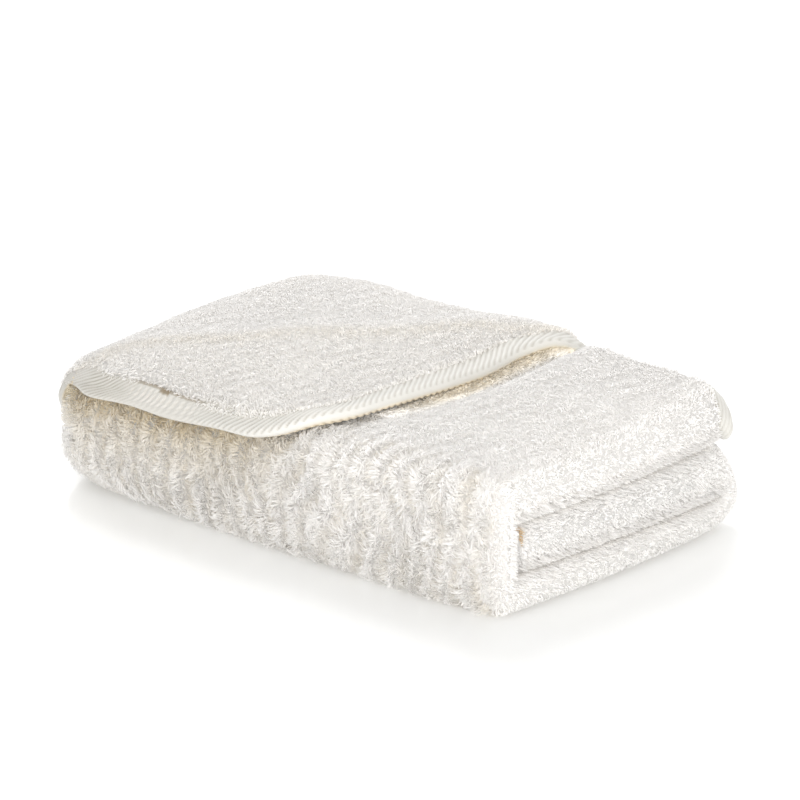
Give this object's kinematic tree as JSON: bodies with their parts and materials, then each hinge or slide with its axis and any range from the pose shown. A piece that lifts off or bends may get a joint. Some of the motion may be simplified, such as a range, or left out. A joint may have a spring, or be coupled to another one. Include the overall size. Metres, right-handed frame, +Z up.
{
  "type": "washcloth",
  "caption": "Thick terry washcloth folded into a loose stack, with a bound edge and a round bound corner lying on top.",
  "frame": {"origin": "centre of the footprint, on the surface that the folded cloth lies on", "axes": "+Z up, +X along the stack to the end that shows the three stacked folds, -Y to the long smooth side"},
  "size_m": [0.1814, 0.1104, 0.044],
  "materials": {
    "terry": "ivory cotton terry, long loops on both faces",
    "binding": "ribbed ivory cotton tape folded over the edge"
  },
  "bodies": {
    "root": {"cloth": "terry", "binding_flap": "binding", "binding_top_end": "binding"}
  },
  "joints": []
}
